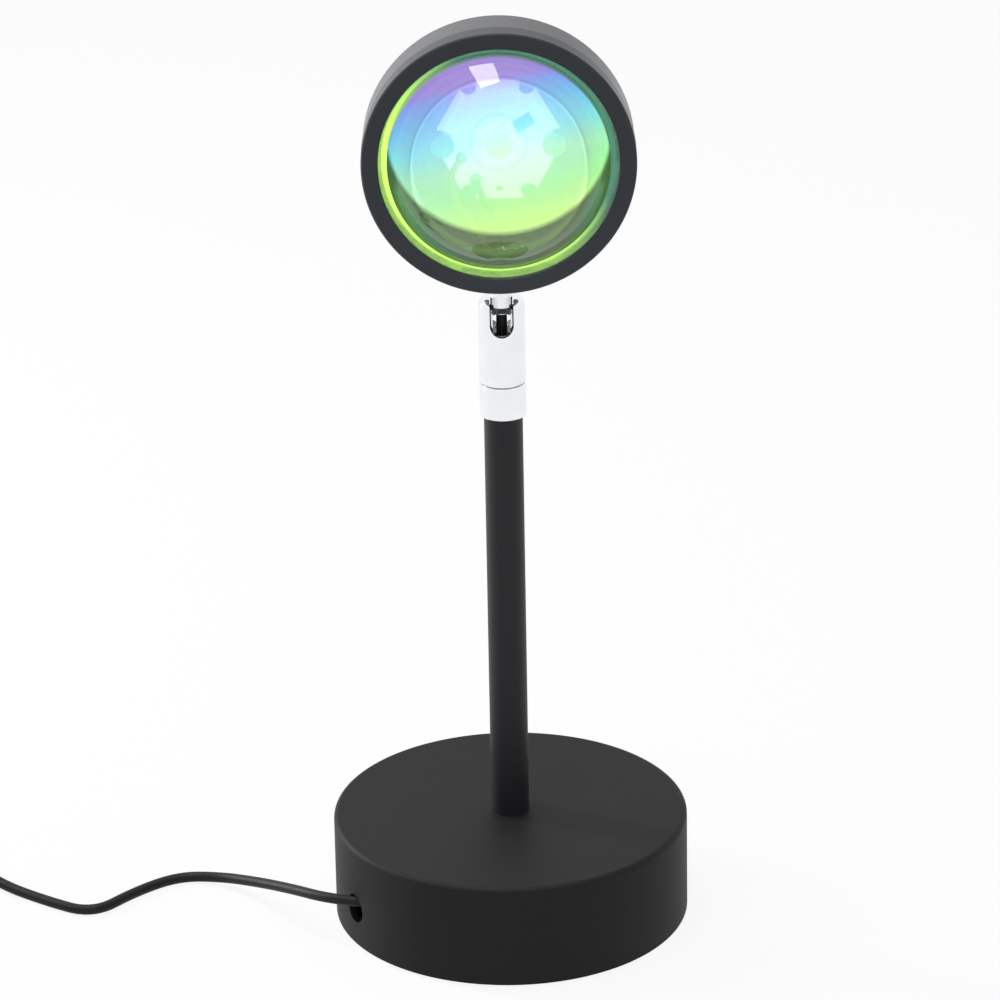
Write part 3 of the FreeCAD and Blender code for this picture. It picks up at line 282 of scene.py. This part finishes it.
def turned_metal(name, colour, roughness=0.3):
    """Machined metal with fine rings left by the tool along the piece."""
    finish = Finish(name)
    wave = finish.node("ShaderNodeTexNoise", inputs={
        "Vector": finish.node("ShaderNodeMapping", inputs={"Vector": finish.place(), "Scale": (1, 1, 14)}),
        "Scale": 500.0, "Detail": 3.0,
    })
    spot = finish.noise(3 * MM)
    return finish.shown_by(finish.surface(
        Base_Color=finish.mixed(spot, darker(colour, 0.88), colour),
        Metallic=1.0,
        Roughness=roughness - 0.05 + wave * 0.14,
        Normal=finish.bump(wave, 0.01 * MM),
    ))


def moulded(name, colour, roughness=0.5, grain=0.25 * MM, depth=0.012 * MM):
    """Moulded plastic with a spark-eroded texture."""
    finish = Finish(name)
    pebble = finish.node("ShaderNodeTexVoronoi", inputs={"Vector": finish.place(), "Scale": 1 / grain})
    cloud = finish.noise(9 * MM, 2.0)
    return finish.shown_by(finish.surface(
        Base_Color=finish.mixed(cloud, darker(colour, 0.9), darker(colour, 1.1)),
        Roughness=roughness - 0.05 + cloud * 0.1,
        Normal=finish.bump(pebble, depth),
    ))


def cord_jacket(name, colour, roughness=0.42):
    """Extruded jacket: smooth, faintly dulled, with dust in the finest pores."""
    finish = Finish(name)
    dull = finish.noise(5 * MM, 3.0)
    pore = finish.noise(0.12 * MM, 1.0)
    return finish.shown_by(finish.surface(
        Base_Color=finish.mixed(dull, darker(colour, 0.85), darker(colour, 1.2)),
        Roughness=roughness - 0.06 + dull * 0.14,
        Normal=finish.bump(pore, 0.006 * MM),
        IOR_Level=0.25,
    ))


def cast_metal():
    finish = Finish("cast_iron")
    sand = finish.noise(0.9 * MM, 5.0, 0.7)
    return finish.shown_by(finish.surface(
        Base_Color=finish.mixed(sand, shade(82, 82, 84), shade(116, 115, 113)),
        Metallic=0.85,
        Roughness=0.5 + sand * 0.25,
        Normal=finish.bump(sand, 0.2 * MM),
    ))


def foam_rubber():
    finish = Finish("foam_rubber")
    cell = finish.node("ShaderNodeTexVoronoi", {"feature": "F1"}, {"Vector": finish.place(), "Scale": 1500.0})
    return finish.shown_by(finish.surface(
        Base_Color=finish.mixed(cell, shade(44, 44, 45), shade(26, 26, 27)),
        Roughness=0.92,
        Normal=finish.bump(cell, 0.15 * MM),
    ))


def clear_lens():
    """Clear moulded glass. Light for the parts behind it goes straight through."""
    finish = Finish("clear_lens")
    ripple = finish.noise(30 * MM, 1.0)
    glass = finish.surface(
        Base_Color=shade(250, 255, 253),
        Roughness=0.0 + ripple * 0.01,
        Transmission_Weight=1.0,
        IOR=1.49,
    )
    clear = finish.node("ShaderNodeBsdfTransparent", inputs={"Color": (0.95, 0.98, 0.97, 1)})
    shadow = finish.node("ShaderNodeLightPath", output="Is Shadow Ray")
    return finish.shown_by(finish.node("ShaderNodeMixShader", inputs={0: shadow, 1: glass, 2: clear}))


# The coating's colours, from the top left of the disc to the bottom right: partly its own tint and partly a
# painted reflection of the bright room, fixed by place.
COATING = [
    (0.00, shade(186, 152, 234)),
    (0.06, shade(156, 174, 249)),
    (0.17, shade(142, 200, 252)),
    (0.36, shade(156, 234, 246)),
    (0.50, shade(190, 244, 212)),
    (0.66, shade(190, 252, 186)),
    (0.84, shade(218, 255, 152)),
]
# The lens shows the middle of the coating enlarged; this is the radius that its colours are spread over.
COATING_REACH = 26 * MM
# Where the painted reflection of the bright room gives way to a painted darker reflection: a circle's centre
# and radius, in that reach.
HORIZON_RISE = 0.53
HORIZON_RADIUS = 1.115
# Where the view through the coating meets the ledge that the filter rests on, in that reach.
LEDGE_EDGE = 0.745
# Where the dome ends and the lens's flat flange begins, in that reach.
FLANGE_EDGE = 1.10
# How fast the coating changes at those three edges, and how much the painted darker reflection at the first
# one takes from its colours.
HORIZON_SHARPNESS = 20
LEDGE_SHARPNESS = 25
FLANGE_SHARPNESS = 16
HORIZON_DEPTH = 0.92
# How the sweep of colours runs: down the disc, across it and with a slow drift.
SWEEP_DOWN = 0.62
SWEEP_ACROSS = 0.14
SWEEP_DRIFT = 0.06
# How much the coating hides in its middle, and how much more over the ledge and over the flange.
MIDDLE_COVER = 0.54
LEDGE_COVER = 0.26
FLANGE_COVER = 0.12
# How strongly the coating glows, a painted glow though no lamp is in it, of which its middle has half, and
# how strongly the pieces behind it glow as painted light.
COATING_GLOW = 0.65
BOARD_GLOW = 1.2
# The ring of tinned pads on the board, and the diode's disc of phosphor with its soft edge.
PAD_INNER = 4.9 * MM
PAD_OUTER = 5.5 * MM
PHOSPHOR_RADIUS = 2.62 * MM
PHOSPHOR_EDGE = 0.08 * MM


def coated_filter():
    """Glass with a thin coating. Its colours are laid out by place: its own tint mixed with a painted
    reflection of the bright room, a painted darker reflection below a curve, a painted highlight on the
    flange, and a painted glow that helps them.
    """
    finish = Finish("coated_filter")
    across = finish.axis(0) / COATING_REACH
    up = (finish.axis(2) - HEAD_HEIGHT) / COATING_REACH
    drift = finish.noise(14 * MM, 1.0)
    along = 0.5 - up * SWEEP_DOWN + across * SWEEP_ACROSS + (drift - 0.5) * SWEEP_DRIFT
    sweep = finish.ramp(along.clipped(), COATING)
    # Painted reflection: below a circle the coating is painted a darker green, as a mirror of the darker
    # room.
    above = up - HORIZON_RISE
    below = ((across * across + above * above).root() - HORIZON_RADIUS) * HORIZON_SHARPNESS
    coating_with_painted_reflection = finish.mixed(below.clipped() * HORIZON_DEPTH, sweep, shade(62, 90, 44))
    reach = (across * across + up * up).root()
    outer = ((reach - LEDGE_EDGE) * LEDGE_SHARPNESS).clipped()
    rim = ((reach - FLANGE_EDGE) * FLANGE_SHARPNESS).clipped()
    # The flange ring, brighter towards the lower left: a painted highlight.
    painted_highlight_lower_left = (0.5 - up * 0.7 - across * 0.7).clipped()
    edge = finish.mixed(painted_highlight_lower_left, shade(40, 112, 84), shade(196, 250, 96))
    colour = finish.mixed(rim, coating_with_painted_reflection, edge)
    return finish.shown_by(finish.surface(
        Base_Color=colour,
        Metallic=1.0,
        Roughness=0.12 + drift * 0.06,
        Alpha=MIDDLE_COVER + outer * LEDGE_COVER + rim * FLANGE_COVER,
        # A painted glow: half strength in the middle, full over the ledge and the flange.
        Emission_Color=finish.mixed(0.5 + outer * 0.5, (0, 0, 0), colour),
        Emission_Strength=COATING_GLOW,
    ))


def clear_silicone():
    finish = Finish("clear_silicone")
    haze = finish.noise(4 * MM)
    return finish.shown_by(finish.surface(
        Base_Color=finish.mixed(haze, shade(206, 226, 216), shade(232, 242, 236)),
        Roughness=0.3 + haze * 0.1,
        Alpha=0.16 + haze * 0.06,
    ))


def behind_the_coating(colour, roughness, **more):
    """A piece on the board. It glows, in place of the light that real coated glass lets through."""
    return dict(Base_Color=colour, Roughness=roughness, Emission_Color=colour,
                Emission_Strength=BOARD_GLOW, **more)


def board_mask():
    """White solder mask on the aluminium star, with the tinned pads round the diode."""
    finish = Finish("board_mask")
    speck = finish.noise(0.5 * MM, 2.0)
    reach = finish.off_axis()
    pad = (reach > PAD_INNER) * (reach < PAD_OUTER)
    mask = finish.mixed(pad * 0.35, shade(246, 240, 244), shade(160, 168, 168))
    return finish.shown_by(finish.surface(**behind_the_coating(
        mask, 0.38 + speck * 0.12, Normal=finish.bump(speck, 0.01 * MM))))


def diode():
    """White ceramic body with a disc of yellow phosphor."""
    finish = Finish("diode")
    phosphor = ((PHOSPHOR_RADIUS - finish.off_axis()) / PHOSPHOR_EDGE).clipped()
    powder = finish.noise(0.2 * MM, 2.0)
    yellow = finish.mixed(powder, shade(252, 206, 96), shade(255, 230, 140))
    body = finish.mixed(phosphor, shade(250, 250, 250), yellow)
    return finish.shown_by(finish.surface(**behind_the_coating(body, 0.45 + powder * 0.2)))


def glazed_resistor():
    finish = Finish("glazed_resistor")
    speck = finish.noise(0.6 * MM)
    glaze = finish.mixed(speck, shade(30, 128, 132), shade(48, 156, 158))
    return finish.shown_by(finish.surface(**behind_the_coating(glaze, 0.18 + speck * 0.1)))


MATERIALS = {
    "base_shell": powder_coat("foot_paint", shade(22, 22, 24), 0.6, gloss=0.2),
    "bottom_cover": powder_coat("cover_paint", shade(22, 22, 24), 0.6, gloss=0.2),
    "pole_tube": powder_coat("pole_paint", shade(26, 26, 30), 0.5, grain=0.25 * MM, depth=0.008 * MM),
    "head_housing": powder_coat(
        "housing_paint", shade(84, 85, 88), 0.5, grain=0.22 * MM, depth=0.01 * MM, bloom=0.32),
    "front_bezel": powder_coat(
        "bezel_paint", shade(46, 50, 56), 0.55, grain=0.22 * MM, depth=0.008 * MM, bloom=0.3),
    "counterweight": cast_metal(),
    "foot_pad": foam_rubber(),
    "dome_lens": clear_lens(),
    "colour_filter": coated_filter(),
    "led_board": board_mask(),
    "led_emitter": diode(),
    "chip_resistor": glazed_resistor(),
    "sleeve_plug": turned_metal("turned_brass", shade(206, 170, 104)),
    "plug_shell": turned_metal("nickel_plate", shade(206, 206, 208), 0.24),
    "lens_gasket": clear_silicone(),
    "thermal_pad": moulded("silicone_pad", shade(196, 198, 202), 0.7),
    "plug_insert": moulded("tongue_plastic", shade(238, 238, 234), 0.4),
    "switch_contacts": moulded("contact_block", shade(214, 212, 204), 0.5),
    "switch_button": moulded("button_plastic", shade(38, 38, 40), 0.3, depth=0.004 * MM),
    "plug_body": moulded("plug_plastic", shade(33, 33, 34), 0.55),
    "cord_tie": moulded("tie_plastic", shade(28, 28, 29), 0.6),
}
chrome = polished_chrome()
steel = turned_metal("zinc_plate", shade(198, 200, 204))
nylon = moulded("nylon", shade(232, 231, 222), 0.45)
switch_plastic = moulded("switch_plastic", shade(34, 34, 35), 0.5)
black_jacket = cord_jacket("black_jacket", shade(12, 12, 13), 0.5)
orange_jacket = cord_jacket("orange_jacket", shade(226, 120, 40))
SHARED = {
    chrome: ["lower_collar", "swivel_sleeve", "ball_stem"],
    steel: ["cover_screws", "clamp_screws", "pole_nipple", "pole_washer", "pole_nut", "spring_washer",
            "swivel_bolt", "seat_spring", "stem_washer", "stem_nut", "board_screws"],
    nylon: ["cord_clamp", "swivel_washer", "ball_seat"],
    switch_plastic: ["switch_base", "switch_cover"],
    black_jacket: ["inner_cord"],
}
for material, names in SHARED.items():
    MATERIALS.update({name: material for name in names})


def wear(piece, material):
    piece.data.materials.clear()
    piece.data.materials.append(material)


for name, material in MATERIALS.items():
    wear(nodes[name], material)


# ---------------------------------------------------------------- cords
def line_through(name, points, thickness, material):
    """A round smooth line that follows its points."""
    curve = bpy.data.curves.new(name, "CURVE")
    curve.dimensions = "3D"
    spline = curve.splines.new("NURBS")
    spline.points.add(len(points) - 1)
    for point, place in zip(spline.points, points):
        point.co = (*place, 1)
    spline.order_u = 3
    spline.use_endpoint_u = True
    spline.resolution_u = 8
    curve.bevel_depth = thickness / 2
    curve.bevel_resolution = 5
    curve.use_fill_caps = True
    piece = bpy.data.objects.new(name, curve)
    bpy.context.scene.collection.objects.link(piece)
    curve.materials.append(material)
    return piece


def coil_turns():
    """The coil's points: it spirals in and out again, and climbs a layer where it turns back."""
    points = []
    turns = COIL_LAYERS * COIL_TURNS_IN_LAYER
    for step in range(turns * COIL_POINTS_IN_TURN + 1):
        turn = step / COIL_POINTS_IN_TURN
        reach = abs(turn % (2 * COIL_TURNS_IN_LAYER) - COIL_TURNS_IN_LAYER)
        radius = COIL_INNER_RADIUS + COIL_PITCH * reach
        height = COIL_LOW
        for layer in range(1, COIL_LAYERS):
            climb = min(max((turn - layer * COIL_TURNS_IN_LAYER) / COIL_CLIMB + 0.5, 0.0), 1.0)
            height += COIL_PITCH * climb * climb * (3 - 2 * climb)
        angle = math.pi + 2 * math.pi * turn
        across = COIL_CENTRE[0] + radius * math.cos(angle)
        along = COIL_CENTRE[1] + radius * math.sin(angle)
        points.append((across, along, height))
    return points


def supply_cord():
    """The cord in two stretches: from the foot to the switch, and on through the coil to the plug."""
    run = line_through("cord_to_switch", in_metres(RUN), CORD_THICKNESS, black_jacket)
    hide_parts("cord_run")
    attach(run, "stand")
    in_metres(RUN)[0]
    route = in_metres(LINK + coil_turns() + TAIL)
    lead = line_through("cord_to_plug", route, CORD_THICKNESS, black_jacket)
    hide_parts("cord_link", "cord_coil", "cord_tail")
    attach(lead, "stand")


def joint_cord():
    """The stretch of cord inside the ball, made as a straight mesh from its bottom to its top."""
    low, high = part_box("joint_cord")
    rise = high[2] - low[2]
    points = [(0, 0, low[2] + rise * k / BALL_CORD_STEPS) for k in range(BALL_CORD_STEPS + 1)]
    cord = line_through("cord_in_ball", points, CORD_THICKNESS, black_jacket)
    select_only(cord)
    bpy.ops.object.convert(target="MESH")
    piece = bpy.context.object
    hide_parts("joint_cord")
    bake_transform(piece)


def leads():
    """The two thin leads from the end of the cord to the board."""
    orange = line_through("orange_lead", in_metres(ORANGE_LEAD, HEAD_HEIGHT), LEAD_THICKNESS, orange_jacket)
    black = line_through("black_lead", in_metres(BLACK_LEAD, HEAD_HEIGHT), LEAD_THICKNESS, black_jacket)
    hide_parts("lead_wires")
    for lead in (orange, black):
        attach(lead, "head")


# ---------------------------------------------------------------- small pieces
SMOOTH_UNDER = math.radians(35)
# A drop of solder: its radius, how far its middle stands before the board, and how flat it is.
SOLDER_RADIUS = 1.15 * MM
SOLDER_PROUD = 0.35 * MM
SOLDER_FLATNESS = 0.62
# The plug's heading on the table, and the contacts on its tongue: across it and along it, in millimetres,
# then below it, their size and the width of their bevelled edges.
PLUG_HEADING = math.radians(-10)
CONTACTS_ACROSS = (-3.5, -1.0, 1.0, 3.5)
CONTACTS_ALONG = 1.2
CONTACT_PROUD = 0.05 * MM
CONTACT_SIZE = (7.0 * MM, 1.1 * MM, 0.16 * MM)
CONTACT_BEVEL = 0.05 * MM


def select_only(piece):
    bpy.ops.object.select_all(action="DESELECT")
    piece.select_set(True)
    bpy.context.view_layer.objects.active = piece


def settle(piece, name, material, body):
    """Applies the piece's place to its mesh, and gives it its finish and its body."""
    piece.name = name
    select_only(piece)
    bpy.ops.object.transform_apply(location=True, rotation=True, scale=True)
    bpy.ops.object.shade_smooth_by_angle(angle=SMOOTH_UNDER)
    wear(piece, material)
    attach(piece, body)
    return piece


def bevelled(piece, width, segments=2):
    bevel = piece.modifiers.new("edges", "BEVEL")
    bevel.width = width
    bevel.segments = segments
    select_only(piece)
    bpy.ops.object.modifier_apply(modifier=bevel.name)


def solder_joints():
    """A drop of solder over the bare end of each lead."""
    tin = turned_metal("solder", shade(212, 214, 216), 0.2)
    board_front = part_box("led_board")[0][1]
    for number, lead in enumerate((ORANGE_LEAD, BLACK_LEAD), start=1):
        across, _, up = in_metres(lead, HEAD_HEIGHT)[-1]
        bpy.ops.mesh.primitive_uv_sphere_add(segments=24, ring_count=12, radius=SOLDER_RADIUS,
                                             location=(across, board_front - SOLDER_PROUD, up))
        drop = bpy.context.object
        drop.scale = (1, SOLDER_FLATNESS, 1)
        settle(drop, f"solder_{number}", tin, "head")


def plug_contacts():
    """The four flat contacts on the tongue of the plug."""
    gold = turned_metal("gold_plate", shade(226, 186, 96), 0.22)
    low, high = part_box("plug_insert")
    along = Vector((math.cos(PLUG_HEADING), math.sin(PLUG_HEADING), 0))
    across = Vector((-math.sin(PLUG_HEADING), math.cos(PLUG_HEADING), 0))
    middle = (Vector(low) + Vector(high)) / 2
    for number, offset in enumerate(CONTACTS_ACROSS, start=1):
        place = middle + across * offset * MM + along * CONTACTS_ALONG * MM
        bpy.ops.mesh.primitive_cube_add(size=1, location=(place.x, place.y, low[2] - CONTACT_PROUD),
                                        rotation=(0, 0, PLUG_HEADING))
        strip = bpy.context.object
        strip.scale = CONTACT_SIZE
        bpy.ops.object.transform_apply(location=False, rotation=False, scale=True)
        bevelled(strip, CONTACT_BEVEL)
        settle(strip, f"plug_contact_{number}", gold, "stand")


# ---------------------------------------------------------------- floor, light and camera
FLOOR_WIDTH = 9
# How much of the floor is plain white where it is seen, and how bright the room is as a light.
FLOOR_WHITENESS = 0.9
ROOM_LIGHT = 0.4


def pale_floor():
    """A floor of pale paper that is seen as nearly white and still takes shadows."""
    bpy.ops.object.select_all(action="DESELECT")
    bpy.ops.mesh.primitive_plane_add(size=FLOOR_WIDTH, location=(0, 0, 0))
    floor = bpy.context.object
    floor.name = "floor"
    finish = Finish("pale_floor")
    paper = finish.surface(Base_Color=shade(238, 238, 238), Roughness=0.9, IOR_Level=0.1)
    white = finish.node("ShaderNodeEmission", inputs={"Color": (1, 1, 1, 1), "Strength": 1.0})
    share = finish.seen_plainly() * FLOOR_WHITENESS
    wear(floor, finish.shown_by(finish.node("ShaderNodeMixShader", inputs={0: share, 1: paper, 2: white})))


def studio_world():
    """A soft white room, and plain white wherever it is seen."""
    world = bpy.data.worlds.new("studio")
    bpy.context.scene.world = world
    finish = Finish("studio", world)
    room = finish.node("ShaderNodeBackground", inputs={"Color": (1, 1, 1, 1), "Strength": ROOM_LIGHT})
    white = finish.node("ShaderNodeBackground", inputs={"Color": (1, 1, 1, 1), "Strength": 1.0})
    share = finish.seen_plainly()
    both = finish.node("ShaderNodeMixShader", inputs={0: share, 1: room, 2: white})
    finish.node("ShaderNodeOutputWorld", inputs={"Surface": both})


def softbox(name, place, aim, width, height, power):
    """A rectangular light that faces the point it is aimed at."""
    light = bpy.data.lights.new(name, "AREA")
    light.shape = "RECTANGLE"
    light.size = width
    light.size_y = height
    light.energy = power
    lamp = bpy.data.objects.new(name, light)
    bpy.context.scene.collection.objects.link(lamp)
    lamp.location = place
    lamp.rotation_euler = (Vector(aim) - Vector(place)).to_track_quat("-Z", "Y").to_euler()


def camera():
    """The photograph's camera, which looks along +Y and down, a little tilted."""
    data = bpy.data.cameras.new("camera")
    data.lens = CAMERA_LENS
    data.sensor_width = SENSOR_WIDTH
    data.clip_end = FARTHEST_SEEN
    view = bpy.data.objects.new("camera", data)
    bpy.context.scene.collection.objects.link(view)
    ahead = Vector((0, math.cos(CAMERA_DOWN), -math.sin(CAMERA_DOWN)))
    up = Vector((0, math.sin(CAMERA_DOWN), math.cos(CAMERA_DOWN)))
    right = Vector((1, 0, 0))
    across = right * math.cos(CAMERA_TILT) + up * math.sin(CAMERA_TILT)
    upwards = up * math.cos(CAMERA_TILT) - right * math.sin(CAMERA_TILT)
    turn = Matrix((across, upwards, -ahead)).transposed().to_4x4()
    view.matrix_world = Matrix.Translation(CAMERA_PLACE) @ turn
    bpy.context.scene.camera = view


# ---------------------------------------------------------------- the whole scene
camera()
supply_cord()
joint_cord()
leads()
solder_joints()
plug_contacts()
pale_floor()
studio_world()
softbox("overhead", place=(-0.2, -0.05, 1.35), aim=(0, 0, 0.1), width=0.7, height=0.34, power=8)
softbox("strip_left", place=(-0.78, 0.36, 0.34), aim=(0, 0, 0.22), width=0.10, height=0.8, power=7)
bpy.context.scene.view_settings.view_transform = "Standard"
